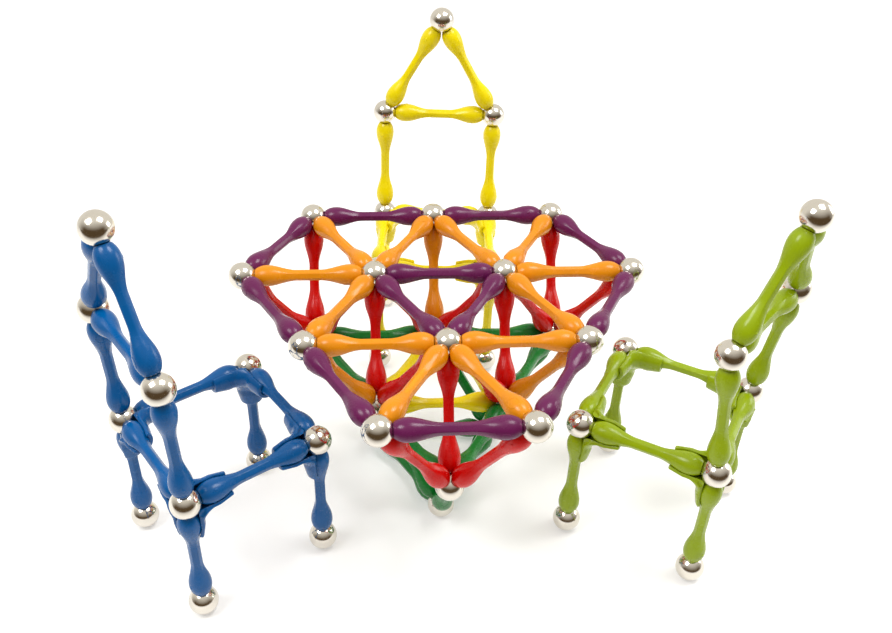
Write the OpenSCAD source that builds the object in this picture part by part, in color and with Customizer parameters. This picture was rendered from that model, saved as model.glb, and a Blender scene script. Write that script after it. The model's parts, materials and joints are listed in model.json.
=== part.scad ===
// Magnetic construction set built up as a table with three chairs.
// Dog-bone rods with a magnet in each end cling to steel balls; three-way
// corner brackets hold the chair seats square. Millimetres, +Z up. The origin
// is on the desk, on the table's threefold axis.

/* [Ball and rod] */
// Diameter of every steel ball
ball_d = 12.7; // [12:0.1:14]
// Distance between the centres of two balls that a rod joins
pitch = 60; // [56:0.5:70]
// Largest diameter of a rod, over the magnet
bulb_d = 9.7; // [9:0.1:10.4]
// Diameter of a rod at mid-length
waist_d = 4.8; // [4:0.1:6]
// Play between a ball and the cup in a rod's end
cup_gap = 0.06; // [0.04:0.01:0.15]
// Diameter of the magnet sealed in each rod end
magnet_d = 5; // [4:0.1:5.5]
// Length of that magnet
magnet_len = 8; // [6:0.5:9]

/* [Corner bracket] */
// Reach of each arm from the centre of its ball
arm_len = 19; // [16:0.5:21]
// Thickness of the bracket's wall
arm_wall = 1.3; // [1:0.1:1.8]
// Radius of the fillet between two arms
fillet_r = 6; // [4:0.5:8]

/* [Chairs] */
// Distance of a chair seat's centre from the table's axis
chair_dist = 106.5; // [104:0.5:140]
// Bearing of each seat's centre, as blue, lime, yellow
chair_bearing = [204, 340.4, 87.5]; // [0:0.1:360]
// Direction that each chair faces
chair_yaw = [33.9, 148.5, 265.7]; // [0:0.1:360]
// Backward lean of each backrest
back_lean = [1.7, 0, 7.1]; // [0:0.1:12]
// Twist of each backrest about its upright centreline
back_twist = [0, -12.9, 0]; // [-14:0.1:14]
// Backward fold of each top triangle against its backrest
top_fold = [-0.8, 8, -5]; // [-10:0.1:10]

/* [Hidden] */
$fn = 64;

PURPLE = "#6f2b85";
ORANGE = "#f6921e";
RED = "#d81f10";
GREEN = "#0a8a4a";
YELLOW = "#efd60c";
BLUE = "#1259b4";
LIME = "#93c01f";
STEEL = "#c9c5bd";
NICKEL = "#a9a9ad";

CHAIRS = ["blue", "lime", "yellow"];
CHAIR_COLOURS = [BLUE, LIME, YELLOW];

ball_r = ball_d / 2;
bulb_r = bulb_d / 2;
waist_r = waist_d / 2;
cup_r = ball_r + cup_gap;

// A rod's outline, as distances from the centre of the ball at its end
end_s = ball_r - 0.45;    // flat rim round the cup
end_r = 3;
bulb_s = 11.3;            // where the rod is thickest
waist_s = 24.5;           // where the straight waist begins
nose_steps = 5;
neck_steps = 6;
nose_len = (bulb_s - end_s) / sqrt(1 - pow(end_r / bulb_r, 2));

// The magnet's pocket, closed all round
skin = 0.75;
pocket_gap = 0.05;
pocket_s = cup_r + skin;

// The corner bracket
seat_gap = 0.15;
channel_r = bulb_r + seat_gap;
mouth_r = channel_r - 0.6;   // the channel narrows towards its mouth
taper_s = 12.5;
arm_root = 2.5;
brim = 3.7;                  // height of the wings' flat tops above the rod's axis
web_t = 2;
web_w = 5.6;

// The lattice of the table
row_h = pitch * sqrt(3) / 2;
layer_h = pitch * sqrt(2 / 3);
foot_z = ball_r;
mid_z = foot_z + layer_h;
top_z = mid_z + layer_h;
seat_z = foot_z + pitch;
near = 0.5;                  // slack when distances are compared

TOP_ROWS = [2, 3, 4, 3];
MID_ROWS = [1, 2, 3];

function lattice(rows, first_y, z) = [
    for (j = [0 : len(rows) - 1], i = [0 : rows[j] - 1])
        [(i - (rows[j] - 1) / 2) * pitch, first_y + j * row_h, z]
];

top_balls = lattice(TOP_ROWS, -5 / 3 * row_h, top_z);
mid_balls = lattice(MID_ROWS, -4 / 3 * row_h, mid_z);
foot_balls = [for (p = top_balls) if (is_core(p)) [p.x, p.y, foot_z]];

// True for the three balls of a layer that stand nearest the axis
function is_core(p) = norm([p.x, p.y]) < pitch / sqrt(3) + near;
function core_count(pair) = (is_core(pair[0]) ? 1 : 0) + (is_core(pair[1]) ? 1 : 0);
function joined(a, b) = abs(norm(a - b) - pitch) < near;

// Every pair of balls within one layer that a rod joins
function pairs_within(balls) = [
    for (i = [0 : len(balls) - 2], j = [i + 1 : len(balls) - 1])
        if (joined(balls[i], balls[j])) [balls[i], balls[j]]
];
// Every pair of balls between two layers that a rod joins
function pairs_between(upper, lower) = [
    for (a = upper, b = lower) if (joined(a, b)) [a, b]
];

top_pairs = pairs_within(top_balls);
mid_pairs = pairs_within(mid_balls);
struts = pairs_between(top_balls, mid_balls);
legs = pairs_between(mid_balls, foot_balls);
base_pairs = pairs_within(foot_balls);

rim_rods = [for (p = top_pairs) if (core_count(p) == 0) p];
spoke_rods = [for (p = top_pairs) if (core_count(p) == 1) p];
core_rods = [for (p = top_pairs) if (core_count(p) == 2) p];
mid_rim_rods = [for (p = mid_pairs) if (core_count(p) < 2) p];
mid_core_rods = [for (p = mid_pairs) if (core_count(p) == 2) p];
// A strut from an outer top ball down to a core ball of the middle layer
function is_cross(p) = !is_core(p[0]) && is_core(p[1]);
cross_struts = [for (p = struts) if (is_cross(p)) p];
main_struts = [for (p = struts) if (!is_cross(p)) p];

// A chair's balls, in its own frame: +X is the way it faces, +Y its left
function turn_z(v, a) = [v.x * cos(a) - v.y * sin(a), v.x * sin(a) + v.y * cos(a), v.z];
function lean_x(v, a) = [v.x * cos(a) - v.z * sin(a), v.y, v.x * sin(a) + v.z * cos(a)];
function placed(c, v) = turn_z(v, chair_yaw[c])
    + chair_dist * [cos(chair_bearing[c]), sin(chair_bearing[c]), 0];

half = pitch / 2;
rear_line = [-half, 0, seat_z];
// A point of the backrest, given in the frame of the mid rod's centre
function on_back(c, v) = rear_line + lean_x(
    turn_z(v, back_twist[c]) + [0, 0, pitch * cos(back_twist[c] / 2)], back_lean[c]);
function corner(c, sx, sy, z) = placed(c, [sx * half, sy * half, z]);
function mid_ball(c, sy) = placed(c, on_back(c, [0, sy * half, 0]));
function top_ball(c) = placed(c, on_back(c, lean_x([0, 0, row_h], top_fold[c])));

SIDES = [-1, 1];
CORNERS = [[-1, -1], [1, -1], [1, 1], [-1, 1]];
function seat_ring(c) = [for (k = CORNERS) corner(c, k[0], k[1], seat_z)];
function seat_pairs(c) = [for (i = [0 : 3]) [seat_ring(c)[i], seat_ring(c)[(i + 1) % 4]]];
function leg_pairs(c) = [
    for (k = CORNERS) [corner(c, k[0], k[1], seat_z), corner(c, k[0], k[1], foot_z)]
];
function upright_pair(c, sy) = [corner(c, -1, sy, seat_z), mid_ball(c, sy)];
function mid_pair(c) = [mid_ball(c, -1), mid_ball(c, 1)];
function peak_pairs(c) = [for (sy = SIDES) [mid_ball(c, sy), top_ball(c)]];

TABLE_NODES = [
    "table_top_balls", "table_lower_balls",
    "table_rim_rods", "table_centre_rods", "table_spoke_rods",
    "table_red_struts", "table_orange_struts",
    "table_middle_rim_rods", "table_middle_centre_rods",
    "table_leg_rods", "table_base_rods",
    "table_magnets"
];
CHAIR_NODES = [
    "seat_rods", "leg_rods", "corner_brackets", "seat_and_foot_balls", "seat_magnets",
    "hinge_balls",
    "right_upright", "right_upright_magnets",
    "left_upright", "left_upright_magnets",
    "back_rod", "back_balls", "back_magnets",
    "peak_rods", "peak_ball", "peak_magnets"
];

// --- Pieces ---------------------------------------------------------------

// Radius of a rod at distance s from the nearer ball's centre
function nose_r(s) = bulb_r * sqrt(1 - pow((bulb_s - s) / nose_len, 2));
function neck_r(s) = waist_r
    + (bulb_r - waist_r) * (1 + cos(180 * (s - bulb_s) / (waist_s - bulb_s))) / 2;

half_outline = concat(
    [for (i = [0 : nose_steps]) let (s = end_s + (bulb_s - end_s) * i / nose_steps)
        [nose_r(s), s]],
    [for (i = [1 : neck_steps]) let (s = bulb_s + (waist_s - bulb_s) * i / neck_steps)
        [neck_r(s), s]]
);
last = len(half_outline) - 1;
rod_outline = concat(
    [[0, end_s]],
    half_outline,
    [for (i = [last : -1 : 0]) [half_outline[i][0], pitch - half_outline[i][1]]],
    [[0, pitch - end_s]]
);

// Stands a shape drawn along +Z from the first point to the second
module along(pair) {
    d = pair[1] - pair[0];
    translate(pair[0])
        rotate([0, acos(d.z / norm(d)), atan2(d.y, d.x)])
            children();
}

module steel_ball(p) {
    translate(p) sphere(r = ball_r);
}

// Moulded jacket: cupped ends and a closed pocket for each magnet
module rod_jacket() {
    difference() {
        rotate_extrude() polygon(rod_outline);
        for (z = [0, pitch]) translate([0, 0, z]) sphere(r = cup_r);
        for (z = [pocket_s, pitch - pocket_s - magnet_len])
            translate([0, 0, z - pocket_gap])
                cylinder(r = magnet_d / 2 + pocket_gap, h = magnet_len + 2 * pocket_gap);
    }
}

module magnet_pair() {
    for (z = [pocket_s, pitch - pocket_s - magnet_len])
        translate([0, 0, z]) cylinder(d = magnet_d, h = magnet_len);
}

module rods(pairs) {
    for (p = pairs) along(p) rod_jacket();
}

module magnets(pairs) {
    for (p = pairs) along(p) magnet_pair();
}

module balls(points) {
    for (p = points) steel_ball(p);
}

// One arm of the bracket before its channel is cut, along +Z, kept on its +X half
module arm_blank() {
    outer = channel_r + arm_wall;
    difference() {
        rotate_extrude()
            polygon([[0, arm_root], [outer, arm_root], [outer, taper_s],
                     [mouth_r + arm_wall, arm_len], [0, arm_len]]);
        translate([-pitch, -half, 0]) cube([pitch, pitch, half]);
    }
}

// The room that a rod takes in its channel, along +Z
module channel() {
    reach = arm_len + 2;
    rotate_extrude()
        polygon([[0, 0], [channel_r, 0], [channel_r, taper_s],
                 [mouth_r, arm_len], [mouth_r, reach], [0, reach]]);
}

// Turns the bracket's first arm, +X, onto its second, +Y, or its third, -Z
module turned(k) {
    if (k == 0) children();
    if (k == 1) rotate([-90, 0, 90]) children();
    if (k == 2) rotate([0, 90, 0]) rotate([90, 0, 0]) children();
}

// Lays an arm drawn along +Z along +X, with its open side outwards
module arm_way() {
    rotate([0, 90, 0]) rotate([0, 0, 45]) children();
}

// The filleted web between the +X and +Y arms, flush with their wings
module web() {
    edge = web_w + fillet_r;
    translate([0, 0, brim - web_t])
        linear_extrude(web_t)
            difference() {
                square(edge);
                translate([edge, edge]) circle(r = fillet_r);
            }
}

// Three-way corner bracket round a ball at the origin
module corner_bracket() {
    side = arm_len + brim + 1;
    intersection() {
        difference() {
            for (k = [0 : 2]) turned(k) {
                arm_way() arm_blank();
                web();
            }
            for (k = [0 : 2]) turned(k) arm_way() channel();
            sphere(r = cup_r + seat_gap);
        }
        translate([-brim, -brim, brim - side]) cube(side);
    }
}

module chair_brackets(c) {
    for (i = [0 : 3])
        translate(corner(c, CORNERS[i][0], CORNERS[i][1], seat_z))
            rotate([0, 0, chair_yaw[c] + 90 * i])
                corner_bracket();
}

// --- Sub-parts of the table -----------------------------------------------

module table_top_balls() { color(STEEL) balls(top_balls); }
module table_lower_balls() { color(STEEL) balls(concat(mid_balls, foot_balls)); }
module table_rim_rods() { color(PURPLE) rods(rim_rods); }
module table_centre_rods() { color(PURPLE) rods(core_rods); }
module table_spoke_rods() { color(ORANGE) rods(spoke_rods); }
module table_red_struts() { color(RED) rods(main_struts); }
module table_orange_struts() { color(ORANGE) rods(cross_struts); }
module table_middle_rim_rods() { color(GREEN) rods(mid_rim_rods); }
module table_middle_centre_rods() { color(YELLOW) rods(mid_core_rods); }
module table_leg_rods() { color(GREEN) rods(legs); }
module table_base_rods() { color(GREEN) rods(base_pairs); }
module table_magnets() {
    color(NICKEL) magnets(concat(top_pairs, struts, mid_pairs, legs, base_pairs));
}

// --- Sub-parts of a chair -------------------------------------------------

module seat_rods(c) { color(CHAIR_COLOURS[c]) rods(seat_pairs(c)); }
module leg_rods(c) { color(CHAIR_COLOURS[c]) rods(leg_pairs(c)); }
module corner_brackets(c) { color(CHAIR_COLOURS[c]) chair_brackets(c); }
module seat_and_foot_balls(c) {
    color(STEEL) {
        balls([for (sy = SIDES) corner(c, 1, sy, seat_z)]);
        balls([for (k = CORNERS) corner(c, k[0], k[1], foot_z)]);
    }
}
module seat_magnets(c) { color(NICKEL) magnets(concat(seat_pairs(c), leg_pairs(c))); }
module hinge_balls(c) { color(STEEL) balls([for (sy = SIDES) corner(c, -1, sy, seat_z)]); }
module upright(c, sy) { color(CHAIR_COLOURS[c]) rods([upright_pair(c, sy)]); }
module upright_magnets(c, sy) { color(NICKEL) magnets([upright_pair(c, sy)]); }
module back_rod(c) { color(CHAIR_COLOURS[c]) rods([mid_pair(c)]); }
module back_balls(c) { color(STEEL) balls(mid_pair(c)); }
module back_magnets(c) { color(NICKEL) magnets([mid_pair(c)]); }
module peak_rods(c) { color(CHAIR_COLOURS[c]) rods(peak_pairs(c)); }
module peak_ball(c) { color(STEEL) steel_ball(top_ball(c)); }
module peak_magnets(c) { color(NICKEL) magnets(peak_pairs(c)); }

table_top_balls();
table_lower_balls();
table_rim_rods();
table_centre_rods();
table_spoke_rods();
table_red_struts();
table_orange_struts();
table_middle_rim_rods();
table_middle_centre_rods();
table_leg_rods();
table_base_rods();
table_magnets();
for (c = [0 : 2]) {
    seat_rods(c);
    leg_rods(c);
    corner_brackets(c);
    seat_and_foot_balls(c);
    seat_magnets(c);
    hinge_balls(c);
    upright(c, -1);
    upright_magnets(c, -1);
    upright(c, 1);
    upright_magnets(c, 1);
    back_rod(c);
    back_balls(c);
    back_magnets(c);
    peak_rods(c);
    peak_ball(c);
    peak_magnets(c);
}
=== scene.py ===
"""Looks of a magnetic desk sculpture: a lattice table with three chairs round it.

Dog-bone rods of moulded plastic cling to polished steel balls, and moulded corner
brackets hold the seats square. Everything is in metres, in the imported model's frame.
"""

import json
import math
import random

import bmesh
import bpy
from bpy.props import FloatProperty, FloatVectorProperty, PointerProperty
from mathutils import Matrix, Quaternion, Vector


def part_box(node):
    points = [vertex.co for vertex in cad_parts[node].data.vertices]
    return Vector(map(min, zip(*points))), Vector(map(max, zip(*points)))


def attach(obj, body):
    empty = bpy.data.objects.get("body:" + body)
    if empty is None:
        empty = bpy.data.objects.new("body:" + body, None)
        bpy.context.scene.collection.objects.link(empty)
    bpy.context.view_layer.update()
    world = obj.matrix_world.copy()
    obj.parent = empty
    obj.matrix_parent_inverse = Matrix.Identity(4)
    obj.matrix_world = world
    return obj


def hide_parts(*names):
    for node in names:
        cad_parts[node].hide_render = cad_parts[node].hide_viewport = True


bl_info = {
    "name": "Magnetic Desk Sculpture Looks",
    "version": (1, 0, 0),
    "blender": (4, 5, 0),
    "location": "3D View > Sidebar > Sculpture",
    "description": "Moulded rods and brackets, polished balls and a studio for a magnetic sculpture",
    "category": "Object",
}

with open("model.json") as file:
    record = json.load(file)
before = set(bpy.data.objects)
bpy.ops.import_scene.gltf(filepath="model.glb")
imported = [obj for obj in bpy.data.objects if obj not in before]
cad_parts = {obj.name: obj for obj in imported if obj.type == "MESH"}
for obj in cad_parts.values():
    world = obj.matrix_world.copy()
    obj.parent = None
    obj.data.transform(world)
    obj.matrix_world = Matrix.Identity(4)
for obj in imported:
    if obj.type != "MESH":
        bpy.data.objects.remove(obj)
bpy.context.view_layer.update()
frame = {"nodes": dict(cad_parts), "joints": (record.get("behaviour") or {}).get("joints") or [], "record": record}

MM = 0.001
JOINTS = {joint["name"]: joint for joint in frame["joints"]}
CHAIRS = ("blue", "lime", "yellow")


def linear(code):
    """Linear red, green and blue of an sRGB hex colour."""
    shares = [int(code[i : i + 2], 16) / 255 for i in (1, 3, 5)]
    return tuple(c / 12.92 if c <= 0.04045 else ((c + 0.055) / 1.055) ** 2.4 for c in shares)


# --- Where the pieces are -------------------------------------------------------


def pivot(name):
    """Where a joint turns."""
    return Vector(JOINTS[name]["pos_m"])


def middle(node):
    """Centre of a CAD node's box."""
    low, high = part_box(node)
    return (low + high) / 2


BALL_LOW, BALL_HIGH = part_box("blue_peak_ball")
BALL_RADIUS = (BALL_HIGH.z - BALL_LOW.z) / 2
PITCH = (pivot("blue_level") - pivot("blue_sway")).length

ROW = PITCH * math.sqrt(3) / 2
LAYER = PITCH * math.sqrt(2 / 3)
NEAR = 0.5 * MM


def lattice(rows, first_row, height):
    """Ball centres of one layer, row by row, on a triangular grid."""
    return [
        Vector(((i - (count - 1) / 2) * PITCH, (first_row + j) * ROW, height))
        for j, count in enumerate(rows)
        for i in range(count)
    ]


def is_core(ball):
    """True for the three balls of a layer that stand nearest the table's axis."""
    return ball.xy.length < PITCH / math.sqrt(3) + NEAR


def joined(uppers, lowers):
    """Every pair of balls, one from each list, that stand a pitch apart."""
    return [(a, b) for a in uppers for b in lowers if abs((a - b).length - PITCH) < NEAR]


def joined_within(balls):
    """Every pair of balls of one list that stand a pitch apart."""
    found = []
    for i, a in enumerate(balls):
        found += joined([a], balls[i + 1 :])
    return found


def cores(pair):
    """How many of a pair's two balls are core balls."""
    return sum(is_core(ball) for ball in pair)


def table_layout():
    """Balls and rods of the table, by CAD node."""
    top = lattice((2, 3, 4, 3), -5 / 3, BALL_RADIUS + 2 * LAYER)
    mid = lattice((1, 2, 3), -4 / 3, BALL_RADIUS + LAYER)
    feet = [Vector((ball.x, ball.y, BALL_RADIUS)) for ball in top if is_core(ball)]
    struts = joined(top, mid)
    crossing = [pair for pair in struts if not is_core(pair[0]) and is_core(pair[1])]
    balls = {"table_top_balls": top, "table_lower_balls": mid + feet}
    rods = {
        "table_rim_rods": [p for p in joined_within(top) if cores(p) == 0],
        "table_spoke_rods": [p for p in joined_within(top) if cores(p) == 1],
        "table_centre_rods": [p for p in joined_within(top) if cores(p) == 2],
        "table_red_struts": [pair for pair in struts if pair not in crossing],
        "table_orange_struts": crossing,
        "table_middle_rim_rods": [p for p in joined_within(mid) if cores(p) < 2],
        "table_middle_centre_rods": [p for p in joined_within(mid) if cores(p) == 2],
        "table_leg_rods": joined(mid, feet),
        "table_base_rods": joined_within(feet),
    }
    return balls, rods


def chair_layout(chair):
    """Balls and rods of a chair, by CAD node."""
    facing = -Vector(JOINTS[f"{chair}_slide"]["axis"]).normalized()
    rear = [pivot(f"{chair}_sway"), pivot(f"{chair}_sway_left")]
    front = [ball + PITCH * facing for ball in rear]
    ring = [rear[0], front[0], front[1], rear[1]]
    feet = [ball - Vector((0, 0, PITCH)) for ball in ring]
    right = pivot(f"{chair}_level")
    left = 2 * pivot(f"{chair}_fold") - right
    peak = middle(f"{chair}_peak_ball")
    balls = {
        f"{chair}_seat_and_foot_balls": front + feet,
        f"{chair}_hinge_balls": rear,
        f"{chair}_back_balls": [right, left],
        f"{chair}_peak_ball": [peak],
    }
    rods = {
        f"{chair}_seat_rods": [(ring[i - 1], ring[i]) for i in range(4)],
        f"{chair}_leg_rods": list(zip(ring, feet)),
        f"{chair}_right_upright": [(rear[0], right)],
        f"{chair}_left_upright": [(rear[1], left)],
        f"{chair}_back_rod": [(right, left)],
        f"{chair}_peak_rods": [(right, peak), (left, peak)],
    }
    return balls, rods


TABLE_COLOURS = {
    "table_rim_rods": "purple",
    "table_spoke_rods": "orange",
    "table_centre_rods": "purple",
    "table_red_struts": "red",
    "table_orange_struts": "orange",
    "table_middle_rim_rods": "green",
    "table_middle_centre_rods": "yellow",
    "table_leg_rods": "green",
    "table_base_rods": "green",
}

# --- Materials --------------------------------------------------------------------


def add_node(tree, kind, settings=None, inputs=None):
    """Add a node, set it up, and fill its inputs or link them to other nodes' outputs."""
    made = tree.nodes.new(kind)
    for name, value in (settings or {}).items():
        setattr(made, name, value)
    for name, value in (inputs or {}).items():
        if isinstance(value, bpy.types.NodeSocket):
            tree.links.new(value, made.inputs[name])
        else:
            made.inputs[name].default_value = value
    return made


def new_material(name):
    """A new material whose node tree is empty."""
    material = bpy.data.materials.new(name)
    material.use_nodes = True
    material.node_tree.nodes.clear()
    return material


def shade(colour, share):
    """A colour made lighter or darker by a share."""
    return tuple(min(c * share, 1) for c in colour) + (1,)


def injection_moulded_abs(name, colour):
    """ABS, pigmented right through and injection moulded in a polished tool.

    It shows an even, saturated colour under a clear gloss. The skin ripples slightly
    where the plastic shrank, and handling leaves it duller in patches.
    """
    if name in bpy.data.materials:
        return bpy.data.materials[name]
    material = new_material(name)
    tree = material.node_tree
    place = add_node(tree, "ShaderNodeTexCoord").outputs["Object"]
    # Pigment is a shade lighter or darker over the length of a rod's bulb.
    pigment = add_node(
        tree,
        "ShaderNodeTexNoise",
        inputs={"Vector": place, "Scale": 1 / (11 * MM), "Detail": 2.0},
    )
    body = add_node(
        tree,
        "ShaderNodeMix",
        {"data_type": "RGBA"},
        {0: pigment.outputs["Fac"], 6: shade(colour, 0.86), 7: shade(colour, 1.1)},
    )
    # Rubbed edges look a touch paler than the body.
    edges = add_node(
        tree,
        "ShaderNodeMapRange",
        inputs={
            "Value": add_node(tree, "ShaderNodeNewGeometry").outputs["Pointiness"],
            "From Min": 0.53,
            "From Max": 0.62,
            "To Max": 0.22,
        },
    )
    rubbed = add_node(
        tree,
        "ShaderNodeMix",
        {"data_type": "RGBA"},
        {0: edges.outputs["Result"], 6: body.outputs[2], 7: shade(colour, 1.8)},
    )
    # Finger marks are some 5 mm across.
    marks = add_node(
        tree,
        "ShaderNodeTexNoise",
        inputs={"Vector": place, "Scale": 1 / (5 * MM), "Detail": 5.0, "Roughness": 0.6},
    )
    gloss = add_node(
        tree,
        "ShaderNodeMapRange",
        inputs={
            "Value": marks.outputs["Fac"],
            "From Min": 0.35,
            "From Max": 0.7,
            "To Min": 0.2,
            "To Max": 0.33,
        },
    )
    # The ripple repeats every 4 mm or so and is a few hundredths of a millimetre deep.
    ripple = add_node(
        tree,
        "ShaderNodeTexNoise",
        inputs={"Vector": place, "Scale": 1 / (4 * MM), "Detail": 1.0},
    )
    skin = add_node(
        tree,
        "ShaderNodeBump",
        inputs={"Height": ripple.outputs["Fac"], "Strength": 1.0, "Distance": 0.05 * MM},
    )
    # Scuffs are finer than a hair, and are drawn 0.6 mm apart so that they show.
    scuffs = add_node(
        tree,
        "ShaderNodeTexNoise",
        inputs={"Vector": place, "Scale": 1 / (0.6 * MM), "Detail": 3.0},
    )
    surface = add_node(
        tree,
        "ShaderNodeBump",
        inputs={
            "Height": scuffs.outputs["Fac"],
            "Strength": 0.5,
            "Distance": 0.008 * MM,
            "Normal": skin.outputs["Normal"],
        },
    )
    shader = add_node(
        tree,
        "ShaderNodeBsdfPrincipled",
        inputs={
            "Base Color": rubbed.outputs[2],
            "Roughness": gloss.outputs["Result"],
            "IOR": 1.53,
            "Specular IOR Level": 0.28,
            "Normal": surface.outputs["Normal"],
        },
    )
    add_node(tree, "ShaderNodeOutputMaterial", inputs={"Surface": shader.outputs["BSDF"]})
    return material


def polished_bearing_steel(colour):
    """Hardened bearing steel, ground and then tumbled bright.

    It mirrors the room sharply, with a slight warm cast, and the soft haze of handling
    comes and goes over the ball.
    """
    name = "polished_bearing_steel"
    if name in bpy.data.materials:
        return bpy.data.materials[name]
    material = new_material(name)
    tree = material.node_tree
    place = add_node(tree, "ShaderNodeTexCoord").outputs["Object"]
    # Finger haze lies in patches about a third of a ball across.
    haze = add_node(
        tree,
        "ShaderNodeTexNoise",
        inputs={"Vector": place, "Scale": 1 / (4 * MM), "Detail": 4.0, "Roughness": 0.6},
    )
    gloss = add_node(
        tree,
        "ShaderNodeMapRange",
        inputs={
            "Value": haze.outputs["Fac"],
            "From Min": 0.35,
            "From Max": 0.7,
            "To Min": 0.12,
            "To Max": 0.2,
        },
    )
    tint = add_node(
        tree,
        "ShaderNodeMix",
        {"data_type": "RGBA"},
        {0: haze.outputs["Fac"], 6: shade(colour, 1.06), 7: shade(colour, 0.9)},
    )
    # Tumbling leaves dimples far finer than these, which are 0.9 mm apart so that they show.
    dimples = add_node(
        tree,
        "ShaderNodeTexNoise",
        inputs={"Vector": place, "Scale": 1 / (0.9 * MM), "Detail": 2.0},
    )
    surface = add_node(
        tree,
        "ShaderNodeBump",
        inputs={"Height": dimples.outputs["Fac"], "Strength": 0.4, "Distance": 0.01 * MM},
    )
    shader = add_node(
        tree,
        "ShaderNodeBsdfPrincipled",
        inputs={
            "Base Color": tint.outputs[2],
            "Metallic": 1.0,
            "Roughness": gloss.outputs["Result"],
            "Normal": surface.outputs["Normal"],
        },
    )
    add_node(tree, "ShaderNodeOutputMaterial", inputs={"Surface": shader.outputs["BSDF"]})
    return material


def barrel_plated_nickel(colour):
    """Sintered magnet, barrel plated with nickel: a soft grey shine with a fine grain."""
    name = "barrel_plated_nickel"
    if name in bpy.data.materials:
        return bpy.data.materials[name]
    material = new_material(name)
    tree = material.node_tree
    place = add_node(tree, "ShaderNodeTexCoord").outputs["Object"]
    # Barrel plating copies the sintered grain under it, about 0.3 mm across.
    grain = add_node(
        tree,
        "ShaderNodeTexNoise",
        inputs={"Vector": place, "Scale": 1 / (0.3 * MM), "Detail": 3.0},
    )
    gloss = add_node(
        tree,
        "ShaderNodeMapRange",
        inputs={"Value": grain.outputs["Fac"], "To Min": 0.22, "To Max": 0.42},
    )
    tint = add_node(
        tree,
        "ShaderNodeMix",
        {"data_type": "RGBA"},
        {0: grain.outputs["Fac"], 6: shade(colour, 0.88), 7: shade(colour, 1.1)},
    )
    surface = add_node(
        tree,
        "ShaderNodeBump",
        inputs={"Height": grain.outputs["Fac"], "Strength": 0.6, "Distance": 0.01 * MM},
    )
    shader = add_node(
        tree,
        "ShaderNodeBsdfPrincipled",
        inputs={
            "Base Color": tint.outputs[2],
            "Metallic": 1.0,
            "Roughness": gloss.outputs["Result"],
            "Normal": surface.outputs["Normal"],
        },
    )
    add_node(tree, "ShaderNodeOutputMaterial", inputs={"Surface": shader.outputs["BSDF"]})
    return material


# --- Meshes -----------------------------------------------------------------------

SIDES = 48
CUP_STEPS, NOSE_STEPS, FALL_STEPS = 4, 10, 14  # rings in a cup, up to a bulb and down to a waist
NOSE_LEAD = 0.4  # how far the first ring up to a bulb stands into its step
HALF_TURN = math.pi
END_STEP = 0.45 * MM  # how far the rod's flat end stands inside the ball's surface
END_RADIUS = 3 * MM
BULB_AT = 11.3 * MM  # from the ball's centre to the thickest place
WAIST_AT = 24.5 * MM  # from the ball's centre to the start of the straight waist
CUP_RIM = 2.45 * MM
FACETS_FROM, FACETS_FULL = 15 * MM, 22 * MM
MARK_AT = 12 * MM
NUB_RADIUS = 0.8 * MM
NUB_RISE = 0.13 * MM

# The corner bracket, from the centre of its ball
CHANNEL_PLAY = 0.1 * MM  # between a rod and the channel that holds it
CHANNEL_STEPS = 8
BALL_PLAY = 0.21 * MM
ARM_ROOT = 2.5 * MM  # where an arm starts
TAPER_AT = 12.5 * MM  # where an arm starts to grow thinner
SLEEVE_TAPER = 1.2 * MM  # how much less its radius is at its end
LIP = 0.3 * MM  # bevel round its end
ROD_ROOM_AT, ROD_ROOM = 4 * MM, 7.5 * MM  # start and radius of the way kept open for a rod
ELBOW_STEPS, ELBOW_SIDES = 12, 40
RELAX_STEPS = 8
THINNED_TO = 0.2  # share of the faces that is kept after rounding


class RodShape:
    """Outline of a rod, standing on its lower ball's centre with +Z along it."""

    def __init__(self, settings):
        self.bulb = settings.bulb_diameter / 2
        self.waist = settings.waist_diameter / 2
        self.cup = BALL_RADIUS + settings.cup_gap
        self.facets = settings.facets
        self.end = BALL_RADIUS - END_STEP
        self.nose = (BULB_AT - self.end) / math.sqrt(1 - (END_RADIUS / self.bulb) ** 2)

    def radius(self, at):
        """Radius at a distance from the nearer ball's centre."""
        if at < BULB_AT:
            return self.bulb * math.sqrt(max(0, 1 - ((BULB_AT - at) / self.nose) ** 2))
        fall = min(1, (at - BULB_AT) / (WAIST_AT - BULB_AT))
        return self.waist + (self.bulb - self.waist) * (1 + math.cos(math.pi * fall)) / 2

    def facet(self, at):
        """How six-sided the section is at that distance, from 0 to 1."""
        share = min(1, max(0, (at - FACETS_FROM) / (FACETS_FULL - FACETS_FROM)))
        return self.facets * share * share * (3 - 2 * share)

    def half(self):
        """Rings from a cup's rim to the middle of the rod, as distance, radius and facet."""
        rings = []
        for i in range(1, CUP_STEPS + 1):
            tilt = math.asin(CUP_RIM / self.cup) * i / CUP_STEPS
            rings.append((self.cup * math.cos(tilt), self.cup * math.sin(tilt), 0))
        lip = (END_RADIUS - CUP_RIM) / 4
        rings.append((self.end, CUP_RIM + lip, 0))
        rings.append((self.end, END_RADIUS - lip, 0))
        for i in range(NOSE_STEPS):
            climb = math.pi / 2 * (i + NOSE_LEAD) / NOSE_STEPS
            at = self.end + (BULB_AT - self.end) * (1 - math.cos(climb))
            rings.append((at, self.radius(at), 0))
        for i in range(FALL_STEPS + 1):
            at = BULB_AT + (WAIST_AT - BULB_AT) * i / FALL_STEPS
            rings.append((at, self.radius(at), self.facet(at)))
        rings.append(((WAIST_AT + PITCH / 2) / 2, self.waist, self.facet(PITCH / 2)))
        return rings


def six_sided(angle, amount):
    """Share of the round radius that a softened six-sided section has at an angle."""
    off = (angle + math.pi / 6) % (math.pi / 3) - math.pi / 6
    flat = math.sqrt(math.cos(math.pi / 6))
    return 1 + amount * (flat / math.cos(off) - 1)


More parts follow.
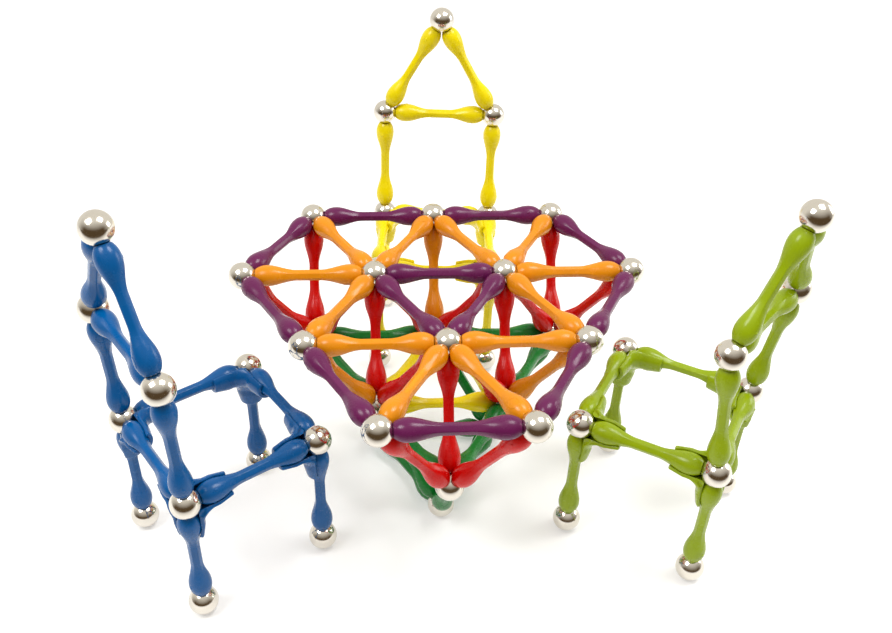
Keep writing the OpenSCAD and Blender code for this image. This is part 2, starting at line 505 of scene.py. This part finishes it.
def turned(shape):
    """Vertices and faces of the rod's body."""
    half = shape.half()
    middle_ring = (PITCH / 2, shape.waist, shape.facet(PITCH / 2))
    rings = half + [middle_ring] + [(PITCH - at, r, f) for at, r, f in reversed(half)]
    points = [Vector((0, 0, shape.cup))]
    for at, radius, facet in rings:
        for i in range(SIDES):
            angle = 2 * math.pi * i / SIDES
            reach = radius * six_sided(angle, facet)
            points.append(Vector((reach * math.cos(angle), reach * math.sin(angle), at)))
    points.append(Vector((0, 0, PITCH - shape.cup)))
    faces = []
    for i in range(SIDES):
        j = (i + 1) % SIDES
        faces.append((0, 1 + i, 1 + j)[::-1])
        for ring in range(len(rings) - 1):
            low, high = 1 + ring * SIDES, 1 + (ring + 1) * SIDES
            faces.append((low + i, low + j, high + j, high + i))
        last = 1 + (len(rings) - 1) * SIDES
        faces.append((last + i, last + j, len(points) - 1))
    return points, faces


def on_bulb(shape, along, across, rise, turn):
    """A point on a bulb, given along the rod and round it from the mark's centre."""
    at = MARK_AT + along
    radius = shape.radius(at)
    angle = turn + across / radius
    reach = radius + rise
    return Vector((reach * math.cos(angle), reach * math.sin(angle), at))


def insert_ring(shape, settings):
    """The fine ring that the mould's insert leaves on one side of a bulb."""
    points, faces = [], []
    steps, wire_sides = 36, 6
    reach, wire = settings.ring_diameter / 2, settings.ring_width / 2
    for i in range(steps):
        angle = 2 * math.pi * i / steps
        for k in range(wire_sides):
            lean = 2 * math.pi * k / wire_sides
            out = reach + wire * math.cos(lean)
            along, across = out * math.cos(angle), out * math.sin(angle)
            points.append(on_bulb(shape, along, across, wire * math.sin(lean), 0))
    for i in range(steps):
        for k in range(wire_sides):
            here, there = i * wire_sides, (i + 1) % steps * wire_sides
            up = (k + 1) % wire_sides
            faces.append((here + k, there + k, there + up, here + up)[::-1])
    return points, faces


def gate_nub(shape):
    """The small dome where the plastic was fed in, on the far side of the other bulb."""
    points, faces = [], []
    steps = 16
    for share, rise in ((1, -0.05 * MM), (0.9, 0.6 * NUB_RISE), (0.5, NUB_RISE)):
        for i in range(steps):
            angle = 2 * math.pi * i / steps
            along = share * NUB_RADIUS * math.cos(angle)
            across = share * NUB_RADIUS * math.sin(angle)
            points.append(on_bulb(shape, along, across, rise, HALF_TURN))
    points.append(on_bulb(shape, 0, 0, NUB_RISE, HALF_TURN))
    for ring in range(2):
        for i in range(steps):
            j = (i + 1) % steps
            low, high = ring * steps, (ring + 1) * steps
            faces.append((low + i, low + j, high + j, high + i))
    for i in range(steps):
        faces.append((2 * steps + i, 2 * steps + (i + 1) % steps, 3 * steps))
    flipped = [Vector((p.x, p.y, PITCH - p.z)) for p in points]
    return flipped, faces


def rod_template(settings):
    """Vertices and faces of one whole rod."""
    shape = RodShape(settings)
    points, faces = [], []
    for more_points, more_faces in (turned(shape), insert_ring(shape, settings), gate_nub(shape)):
        first = len(points)
        points += more_points
        faces += [tuple(first + corner for corner in face) for face in more_faces]
    return points, faces


def finished(name, mesh, material, node, body):
    """Link a piece that stands for a CAD node and rides on its body."""
    mesh.shade_smooth()
    mesh.materials.append(material)
    piece = bpy.data.objects.new(name, mesh)
    bpy.context.scene.collection.objects.link(piece)
    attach(piece, body)
    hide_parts(node)


def body_of_node(node):
    """The body that a CAD node moves with."""
    bodies = frame["record"]["behaviour"]["bodies"]
    return next(body for body, nodes in bodies.items() if node in nodes)


def build_rods(layout, colour_of):
    """Moulded rods for every rod node of a layout."""
    settings = bpy.context.scene.sculpture_rods
    template, faces = rod_template(settings)
    for node, pairs in layout.items():
        dice = random.Random(node)
        points, all_faces = [], []
        for start, end in pairs:
            if dice.random() < 0.5:
                start, end = end, start
            lie = (end - start).to_track_quat("Z", "Y").to_matrix().to_4x4()
            roll = Matrix.Rotation(dice.uniform(0, 2 * math.pi), 4, "Z")
            place = Matrix.Translation(start) @ lie @ roll
            first = len(points)
            points += [place @ p for p in template]
            all_faces += [tuple(first + corner for corner in face) for face in faces]
        mesh = bpy.data.meshes.new(node + "_moulded")
        mesh.from_pydata(points, [], all_faces)
        colour = colour_of(node)
        material = injection_moulded_abs(f"moulded_abs_{colour}", getattr(settings, colour))
        finished(node + "_moulded", mesh, material, node, body_of_node(node))


def build_balls(layout):
    """Polished balls for every ball node of a layout."""
    settings = bpy.context.scene.sculpture_steel
    material = polished_bearing_steel(settings.steel)
    for node, centres in layout.items():
        shell = bmesh.new()
        for centre in centres:
            bmesh.ops.create_icosphere(
                shell, subdivisions=5, radius=BALL_RADIUS, matrix=Matrix.Translation(centre)
            )
        mesh = bpy.data.meshes.new(node + "_polished")
        shell.to_mesh(mesh)
        shell.free()
        finished(node + "_polished", mesh, material, node, body_of_node(node))


def revolve(shell, way, outline, sides):
    """Add a closed turned solid about a line through the origin, from (distance, radius) pairs."""
    lie = way.to_track_quat("Z", "Y").to_matrix()
    rings = [
        [
            shell.verts.new(
                lie
                @ Vector(
                    (
                        radius * math.cos(2 * math.pi * i / sides),
                        radius * math.sin(2 * math.pi * i / sides),
                        at,
                    )
                )
            )
            for i in range(sides)
        ]
        for at, radius in outline
    ]
    close_tube(shell, rings)


def close_tube(shell, rings):
    """Skin a row of rings and cap both ends."""
    for low, high in zip(rings, rings[1:]):
        for i in range(len(low)):
            j = (i + 1) % len(low)
            shell.faces.new((low[i], low[j], high[j], high[i]))
    shell.faces.new(rings[0][::-1])
    shell.faces.new(rings[-1])


def elbow(shell, first, second, bend, reach):
    """Add a quarter ring that joins two arms smoothly on the side that they both face."""
    up = first.cross(second)
    rings = []
    for i in range(ELBOW_STEPS + 1):
        angle = math.pi / 2 * i / ELBOW_STEPS
        out = -(math.cos(angle) * first + math.sin(angle) * second)
        centre = bend * (first + second + out)
        rings.append(
            [
                shell.verts.new(
                    centre
                    + reach * math.cos(2 * math.pi * k / ELBOW_SIDES) * out
                    - reach * math.sin(2 * math.pi * k / ELBOW_SIDES) * up
                )
                for k in range(ELBOW_SIDES)
            ]
        )
    close_tube(shell, rings)


def worker_object(name, shell):
    """Turn a finished shell into a linked object for a modifier to use."""
    bmesh.ops.recalc_face_normals(shell, faces=shell.faces)
    mesh = bpy.data.meshes.new(name)
    shell.to_mesh(mesh)
    shell.free()
    made = bpy.data.objects.new(name, mesh)
    bpy.context.scene.collection.objects.link(made)
    return made


def largest_island(mesh):
    """Vertices and faces of a mesh's largest connected part, without the flecks round it."""
    shell = bmesh.new()
    shell.from_mesh(mesh)
    islands, seen = [], set()
    for start in shell.verts:
        if start in seen:
            continue
        island, edge = {start}, [start]
        while edge:
            here = edge.pop()
            near = [link.other_vert(here) for link in here.link_edges]
            fresh = [vert for vert in near if vert not in island]
            island.update(fresh)
            edge += fresh
        seen |= island
        islands.append(island)
    kept = max(islands, key=len)
    bmesh.ops.delete(shell, geom=[vert for vert in shell.verts if vert not in kept])
    shell.verts.index_update()
    points = [vert.co.copy() for vert in shell.verts]
    faces = [tuple(vert.index for vert in face.verts) for face in shell.faces]
    shell.free()
    return points, faces


def bracket_template(settings):
    """Vertices and faces of one bracket, with its ball at the origin and arms on +X, +Y, +Z."""
    shape = RodShape(settings)
    sleeve = shape.bulb + CHANNEL_PLAY + settings.bracket_wall
    arm = settings.bracket_arm
    ways = [Vector(way) for way in ((1, 0, 0), (0, 1, 0), (0, 0, 1))]

    solid = bmesh.new()
    outline = [
        (ARM_ROOT, sleeve),
        (TAPER_AT, sleeve),
        (arm - LIP, sleeve - SLEEVE_TAPER),
        (arm, sleeve - SLEEVE_TAPER - LIP),
    ]
    for i, way in enumerate(ways):
        revolve(solid, way, outline, ELBOW_SIDES)
        elbow(solid, way, ways[(i + 1) % 3], settings.bracket_bend, sleeve - LIP)

    cutter = bmesh.new()
    bmesh.ops.create_icosphere(cutter, subdivisions=3, radius=BALL_RADIUS + BALL_PLAY)
    # The channel follows the rod that it holds.
    stations = [BULB_AT + (arm - BULB_AT) * i / CHANNEL_STEPS for i in range(CHANNEL_STEPS + 1)]
    channel = [(at, shape.radius(at) + CHANNEL_PLAY) for at in stations]
    channel = [(0, channel[0][1]), *channel, (2 * arm, channel[-1][1])]
    side = 4 * arm
    for way in ways:
        revolve(cutter, way, channel, ELBOW_SIDES)
        # Each arm is open on the side that faces out of the corner.
        out = (way - Vector((1, 1, 1))).normalized()
        lie = out.to_track_quat("Z", "Y").to_matrix().to_4x4()
        place = Matrix.Translation((side / 2 + settings.bracket_grip) * out) @ lie
        bmesh.ops.create_cube(cutter, size=side, matrix=place)
        # A rod on the far side of the ball has room to swing.
        revolve(cutter, -way, [(ROD_ROOM_AT, ROD_ROOM), (side, ROD_ROOM)], ELBOW_SIDES)

    worker = worker_object("bracket_solid", solid)
    tools = worker_object("bracket_tools", cutter)
    cut = worker.modifiers.new("cut", "BOOLEAN")
    cut.operation = "DIFFERENCE"
    cut.solver = "EXACT"
    cut.use_self = True
    cut.object = tools
    remesh = worker.modifiers.new("cells", "REMESH")
    remesh.mode = "VOXEL"
    remesh.voxel_size = settings.bracket_grain
    relax = worker.modifiers.new("relax", "SMOOTH")
    relax.factor = 0.5
    relax.iterations = RELAX_STEPS
    thin = worker.modifiers.new("thin", "DECIMATE")
    thin.ratio = THINNED_TO
    seen = worker.evaluated_get(bpy.context.evaluated_depsgraph_get())
    mesh = bpy.data.meshes.new_from_object(seen)
    points, faces = largest_island(mesh)
    bpy.data.objects.remove(worker)
    bpy.data.objects.remove(tools)
    bpy.data.meshes.remove(mesh)
    return points, faces


def bracket_places(chair):
    """Where each of a chair's four brackets goes, as a matrix from the template."""
    ring = [pair[1] for pair in chair_layout(chair)[1][f"{chair}_seat_rods"]]
    places = []
    for i, ball in enumerate(ring):
        first = (ring[(i + 1) % 4] - ball).normalized()
        second = (ring[i - 1] - ball).normalized()
        down = Vector((0, 0, -1))
        if first.cross(second).dot(down) < 0:
            first, second = second, first
        turn = Matrix((first, second, down)).transposed().to_4x4()
        places.append(Matrix.Translation(ball) @ turn)
    return places


def build_brackets(chair, template):
    """The four moulded brackets of a chair."""
    settings = bpy.context.scene.sculpture_rods
    node = f"{chair}_corner_brackets"
    points, faces = [], []
    for place in bracket_places(chair):
        first = len(points)
        points += [place @ p for p in template[0]]
        faces += [tuple(first + corner for corner in face) for face in template[1]]
    mesh = bpy.data.meshes.new(node + "_moulded")
    mesh.from_pydata(points, [], faces)
    material = injection_moulded_abs(f"moulded_abs_{chair}", getattr(settings, chair))
    finished(node + "_moulded", mesh, material, node, body_of_node(node))


# --- Settings ---------------------------------------------------------------------


class RodSettings(bpy.types.PropertyGroup):
    """Sizes and colours of the moulded rods and brackets."""

    bulb_diameter: FloatProperty(
        name="Bulb Diameter",
        description="Largest diameter of a rod, over its magnet",
        default=9.7 * MM,
        min=9 * MM,
        max=10.4 * MM,
        unit="LENGTH",
        subtype="DISTANCE",
    )
    waist_diameter: FloatProperty(
        name="Waist Diameter",
        description="Diameter of a rod at mid-length",
        default=4.8 * MM,
        min=4 * MM,
        max=6 * MM,
        unit="LENGTH",
        subtype="DISTANCE",
    )
    cup_gap: FloatProperty(
        name="Cup Gap",
        description="Play between a ball and the cup in a rod's end",
        default=0.06 * MM,
        min=0.04 * MM,
        max=0.15 * MM,
        unit="LENGTH",
        subtype="DISTANCE",
    )
    facets: FloatProperty(
        name="Waist Facets",
        description="How six-sided the waist is, from round to crisp",
        default=0.8,
        min=0,
        max=1,
        subtype="FACTOR",
    )
    ring_diameter: FloatProperty(
        name="Ring Mark Diameter",
        description="Diameter of the ring mark on one bulb",
        default=4.6 * MM,
        min=2 * MM,
        max=6 * MM,
        unit="LENGTH",
        subtype="DISTANCE",
    )
    ring_width: FloatProperty(
        name="Ring Mark Width",
        description="Width of the ring mark's line",
        default=0.24 * MM,
        min=0.1 * MM,
        max=0.28 * MM,
        unit="LENGTH",
        subtype="DISTANCE",
    )
    bracket_arm: FloatProperty(
        name="Bracket Arm",
        description="Reach of each arm from the centre of its ball",
        default=19 * MM,
        min=16 * MM,
        max=21 * MM,
        unit="LENGTH",
        subtype="DISTANCE",
    )
    bracket_wall: FloatProperty(
        name="Bracket Wall",
        description="Thickness of the bracket's wall",
        default=1.5 * MM,
        min=1 * MM,
        max=1.8 * MM,
        unit="LENGTH",
        subtype="DISTANCE",
    )
    bracket_bend: FloatProperty(
        name="Bracket Bend",
        description="Radius of the bend that joins two arms",
        default=12 * MM,
        min=8 * MM,
        max=16 * MM,
        unit="LENGTH",
        subtype="DISTANCE",
    )
    bracket_grip: FloatProperty(
        name="Bracket Grip",
        description="How far the wings reach past a rod's axis",
        default=0.5 * MM,
        min=0,
        max=1.5 * MM,
        unit="LENGTH",
        subtype="DISTANCE",
    )
    bracket_grain: FloatProperty(
        name="Bracket Grain",
        description="Cell size used when a bracket's edges are rounded",
        default=0.35 * MM,
        min=0.3 * MM,
        max=1 * MM,
        unit="LENGTH",
        subtype="DISTANCE",
    )
    purple: FloatVectorProperty(
        name="Purple",
        description="Colour of the purple rods",
        default=linear("#5c1547"),
        min=0,
        max=1,
        subtype="COLOR",
    )
    orange: FloatVectorProperty(
        name="Orange",
        description="Colour of the orange rods",
        default=linear("#d1810a"),
        min=0,
        max=1,
        subtype="COLOR",
    )
    red: FloatVectorProperty(
        name="Red",
        description="Colour of the red rods",
        default=linear("#c80300"),
        min=0,
        max=1,
        subtype="COLOR",
    )
    green: FloatVectorProperty(
        name="Green",
        description="Colour of the green rods",
        default=linear("#107028"),
        min=0,
        max=1,
        subtype="COLOR",
    )
    yellow: FloatVectorProperty(
        name="Yellow",
        description="Colour of the yellow rods and brackets",
        default=linear("#dfcc03"),
        min=0,
        max=1,
        subtype="COLOR",
    )
    blue: FloatVectorProperty(
        name="Blue",
        description="Colour of the blue rods and brackets",
        default=linear("#00508c"),
        min=0,
        max=1,
        subtype="COLOR",
    )
    lime: FloatVectorProperty(
        name="Lime",
        description="Colour of the lime rods and brackets",
        default=linear("#889d08"),
        min=0,
        max=1,
        subtype="COLOR",
    )


class SteelSettings(bpy.types.PropertyGroup):
    """Colours of the metal pieces."""

    steel: FloatVectorProperty(
        name="Steel",
        description="Colour of the polished balls",
        default=linear("#dcd6cb"),
        min=0,
        max=1,
        subtype="COLOR",
    )
    nickel: FloatVectorProperty(
        name="Nickel",
        description="Colour of the plated magnets",
        default=linear("#a9a9ad"),
        min=0,
        max=1,
        subtype="COLOR",
    )


class StudioSettings(bpy.types.PropertyGroup):
    """The camera, the lights and the floor."""

    lens: FloatProperty(
        name="Lens",
        description="Focal length of the camera, in millimetres",
        default=38.4,
        min=20,
        max=100,
    )
    light_power: FloatProperty(
        name="Softbox Power",
        description="Power of each softbox",
        default=7.0,
        min=0,
        max=50,
        unit="POWER",
    )
    floor: FloatVectorProperty(
        name="Floor",
        description="Colour of the floor",
        default=linear("#d8d8d8"),
        min=0,
        max=1,
        subtype="COLOR",
    )
    floor_glow: FloatProperty(
        name="Floor Glow",
        description="Light that comes through the floor from below",
        default=0.32,
        min=0,
        max=1,
    )
    room: FloatVectorProperty(
        name="Room",
        description="Colour of the dim room in front of the table",
        default=linear("#5c4a33"),
        min=0,
        max=1,
        subtype="COLOR",
    )


# --- Stage ------------------------------------------------------------------------

CAMERA_AT = Vector((-0.0308, -0.3465, 0.3507))
CAMERA_AIM = Vector((-0.0004, -0.0268, 0.1123))
CAMERA_ROLL = math.radians(2.3)
SOFTBOX_SIDE = 0.45
# Where each softbox stands, and its share of the full power.
SOFTBOXES = (
    (Vector((-0.58, -0.30, 0.98)), 1.0),
    (Vector((0.42, -0.02, 1.08)), 1.0),
    (Vector((1.05, 0.25, 0.40)), 0.35),
)
FLOOR_REACH = 4
# A painted dark reflection on the floor starts here, along Y, for glossy rays only.
PAINTED_REFLECTION_EDGE = (-0.12, -0.34)  # where the mirrors see the floor darken
WALLS = (0.95, 0.92, 0.85, 1)
# Where the room turns from pale to dim, along Y and along Z.
FRONT_WALL = (0.35, -0.5)
LOW_WALL = (1.0, 0.2)


def add_camera(settings):
    """The camera, rolled a little about its line of sight."""
    camera = bpy.data.objects.new("camera", bpy.data.cameras.new("camera"))
    bpy.context.scene.collection.objects.link(camera)
    camera.data.lens = settings.lens
    camera.data.clip_start = 0.01
    camera.location = CAMERA_AT
    camera.rotation_mode = "QUATERNION"
    aim = (CAMERA_AIM - CAMERA_AT).to_track_quat("-Z", "Y")
    camera.rotation_quaternion = aim @ Quaternion((0, 0, 1), CAMERA_ROLL)
    bpy.context.scene.camera = camera


def add_softbox(name, place, power):
    """A square softbox aimed at the table."""
    light = bpy.data.lights.new(name, "AREA")
    light.shape = "SQUARE"
    light.size = SOFTBOX_SIDE
    light.energy = power
    softbox = bpy.data.objects.new(name, light)
    bpy.context.scene.collection.objects.link(softbox)
    softbox.location = place
    softbox.rotation_euler = (CAMERA_AIM - place).to_track_quat("-Z", "Y").to_euler()


def matt_painted_board(settings):
    """Board painted matt white: no shine, and a faint mottle from the roller. Glossy rays see a painted dark
    reflection on its front part.
    """
    material = new_material("matt_painted_board")
    tree = material.node_tree
    place = add_node(tree, "ShaderNodeTexCoord").outputs["Object"]
    # A roller leaves a mottle about 30 mm across.
    mottle = add_node(
        tree, "ShaderNodeTexNoise", inputs={"Vector": place, "Scale": 1 / (30 * MM)}
    )
    paint = add_node(
        tree,
        "ShaderNodeMix",
        {"data_type": "RGBA"},
        {0: mottle.outputs["Fac"], 6: shade(settings.floor, 0.99), 7: shade(settings.floor, 1.0)},
    )
    board = add_node(
        tree,
        "ShaderNodeBsdfPrincipled",
        inputs={
            "Base Color": paint.outputs[2],
            "Roughness": 0.7,
            "Emission Color": (1, 1, 1, 1),
            "Emission Strength": settings.floor_glow,
        },
    )
    # Glossy rays see a painted dark reflection in the dim room's colour on the front part of the board.
    depth = add_node(tree, "ShaderNodeSeparateXYZ", inputs={"Vector": place})
    edge = add_node(
        tree,
        "ShaderNodeMapRange",
        inputs={"Value": depth.outputs["Y"], "From Min": PAINTED_REFLECTION_EDGE[0], "From Max": PAINTED_REFLECTION_EDGE[1]},
    )
    painted_reflection_share = add_node(
        tree,
        "ShaderNodeMath",
        {"operation": "MULTIPLY"},
        {
            0: edge.outputs["Result"],
            1: add_node(tree, "ShaderNodeLightPath").outputs["Is Glossy Ray"],
        },
    )
    # Painted reflection: a dim glow in the room's colour that only glossy rays see.
    dim = add_node(
        tree, "ShaderNodeEmission", inputs={"Color": shade(settings.room, 1), "Strength": 1.0}
    )
    both = add_node(
        tree,
        "ShaderNodeMixShader",
        inputs={0: painted_reflection_share.outputs[0], 1: board.outputs[0], 2: dim.outputs[0]},
    )
    add_node(tree, "ShaderNodeOutputMaterial", inputs={"Surface": both.outputs[0]})
    return material


def add_floor(settings):
    """A wide pale floor."""
    mesh = bpy.data.meshes.new("floor")
    reach = FLOOR_REACH
    mesh.from_pydata(
        [(-reach, -reach, 0), (reach, -reach, 0), (reach, reach, 0), (-reach, reach, 0)],
        [],
        [(0, 1, 2, 3)],
    )
    mesh.materials.append(matt_painted_board(settings))
    floor = bpy.data.objects.new("floor", mesh)
    bpy.context.scene.collection.objects.link(floor)


def light_room(settings):
    """Pale walls and ceiling, and a dim room in front for the balls to mirror."""
    world = bpy.data.worlds.new("room")
    bpy.context.scene.world = world
    world.use_nodes = True
    tree = world.node_tree
    tree.nodes.clear()
    way = add_node(
        tree,
        "ShaderNodeSeparateXYZ",
        inputs={"Vector": add_node(tree, "ShaderNodeTexCoord").outputs["Generated"]},
    )
    front = add_node(
        tree,
        "ShaderNodeMapRange",
        inputs={
            "Value": way.outputs["Y"],
            "From Min": FRONT_WALL[0],
            "From Max": FRONT_WALL[1],
        },
    )
    low = add_node(
        tree,
        "ShaderNodeMapRange",
        inputs={"Value": way.outputs["Z"], "From Min": LOW_WALL[0], "From Max": LOW_WALL[1]},
    )
    dim = add_node(
        tree,
        "ShaderNodeMath",
        {"operation": "MULTIPLY"},
        {0: front.outputs["Result"], 1: low.outputs["Result"]},
    )
    walls = add_node(
        tree,
        "ShaderNodeMix",
        {"data_type": "RGBA"},
        {0: dim.outputs[0], 6: WALLS, 7: shade(settings.room, 1)},
    )
    seen = add_node(
        tree,
        "ShaderNodeMix",
        {"data_type": "RGBA"},
        {
            0: add_node(tree, "ShaderNodeLightPath").outputs["Is Camera Ray"],
            6: walls.outputs[2],
            7: (1, 1, 1, 1),
        },
    )
    background = add_node(
        tree,
        "ShaderNodeBackground",
        inputs={"Color": seen.outputs[2], "Strength": 1.0},
    )
    add_node(tree, "ShaderNodeOutputWorld", inputs={"Surface": background.outputs[0]})


# --- Operators --------------------------------------------------------------------


class SCULPTURE_OT_table_rods(bpy.types.Operator):
    """Mould the rods of the lattice table"""

    bl_idname = "sculpture.table_rods"
    bl_label = "Table Rods"

    def execute(self, context):
        build_rods(table_layout()[1], TABLE_COLOURS.get)
        return {"FINISHED"}


class SCULPTURE_OT_chair_rods(bpy.types.Operator):
    """Mould the rods of the three chairs"""

    bl_idname = "sculpture.chair_rods"
    bl_label = "Chair Rods"

    def execute(self, context):
        for chair in CHAIRS:
            build_rods(chair_layout(chair)[1], lambda node: node.split("_")[0])
        return {"FINISHED"}


class SCULPTURE_OT_corner_brackets(bpy.types.Operator):
    """Mould the brackets that hold the seats square"""

    bl_idname = "sculpture.corner_brackets"
    bl_label = "Corner Brackets"

    def execute(self, context):
        template = bracket_template(context.scene.sculpture_rods)
        for chair in CHAIRS:
            build_brackets(chair, template)
        return {"FINISHED"}


class SCULPTURE_OT_steel_balls(bpy.types.Operator):
    """Polish the balls of the table and the chairs"""

    bl_idname = "sculpture.steel_balls"
    bl_label = "Steel Balls"

    def execute(self, context):
        build_balls(table_layout()[0])
        for chair in CHAIRS:
            build_balls(chair_layout(chair)[0])
        return {"FINISHED"}


class SCULPTURE_OT_magnets(bpy.types.Operator):
    """Plate the magnets sealed in the rods"""

    bl_idname = "sculpture.magnets"
    bl_label = "Magnets"

    def execute(self, context):
        material = barrel_plated_nickel(context.scene.sculpture_steel.nickel)
        for name, node in frame["nodes"].items():
            if name.endswith("magnets"):
                for slot in node.material_slots:
                    slot.material = material
        return {"FINISHED"}


class SCULPTURE_OT_studio(bpy.types.Operator):
    """Set up the camera, the lights and the floor"""

    bl_idname = "sculpture.studio"
    bl_label = "Studio"

    def execute(self, context):
        settings = context.scene.sculpture_studio
        context.scene.view_settings.view_transform = "Standard"
        add_camera(settings)
        for i, (place, share) in enumerate(SOFTBOXES):
            add_softbox(f"softbox_{i + 1}", place, share * settings.light_power)
        add_floor(settings)
        light_room(settings)
        return {"FINISHED"}


class SCULPTURE_PT_looks(bpy.types.Panel):
    """Builds the sculpture's looks, group by group"""

    bl_label = "Sculpture Looks"
    bl_space_type = "VIEW_3D"
    bl_region_type = "UI"
    bl_category = "Sculpture"

    def draw(self, context):
        for group in ("sculpture_rods", "sculpture_steel", "sculpture_studio"):
            settings = getattr(context.scene, group)
            box = self.layout.box()
            for name in settings.__annotations__:
                box.prop(settings, name)
        for operator in OPERATORS:
            self.layout.operator(operator.bl_idname)


SETTINGS = {
    "sculpture_rods": RodSettings,
    "sculpture_steel": SteelSettings,
    "sculpture_studio": StudioSettings,
}
OPERATORS = (
    SCULPTURE_OT_table_rods,
    SCULPTURE_OT_chair_rods,
    SCULPTURE_OT_corner_brackets,
    SCULPTURE_OT_steel_balls,
    SCULPTURE_OT_magnets,
    SCULPTURE_OT_studio,
)
CLASSES = (*SETTINGS.values(), *OPERATORS, SCULPTURE_PT_looks)


def register():
    """Register the classes and hang the settings on the scene."""
    for item in CLASSES:
        bpy.utils.register_class(item)
    for name, group in SETTINGS.items():
        setattr(bpy.types.Scene, name, PointerProperty(type=group))


def unregister():
    """Take the settings off the scene and unregister the classes."""
    for name in SETTINGS:
        delattr(bpy.types.Scene, name)
    for item in reversed(CLASSES):
        bpy.utils.unregister_class(item)


def main():
    """Build every group in order."""
    register()
    bpy.ops.sculpture.table_rods()
    bpy.ops.sculpture.chair_rods()
    bpy.ops.sculpture.corner_brackets()
    bpy.ops.sculpture.steel_balls()
    bpy.ops.sculpture.magnets()
    bpy.ops.sculpture.studio()


if __name__ == "__main__":
    main()
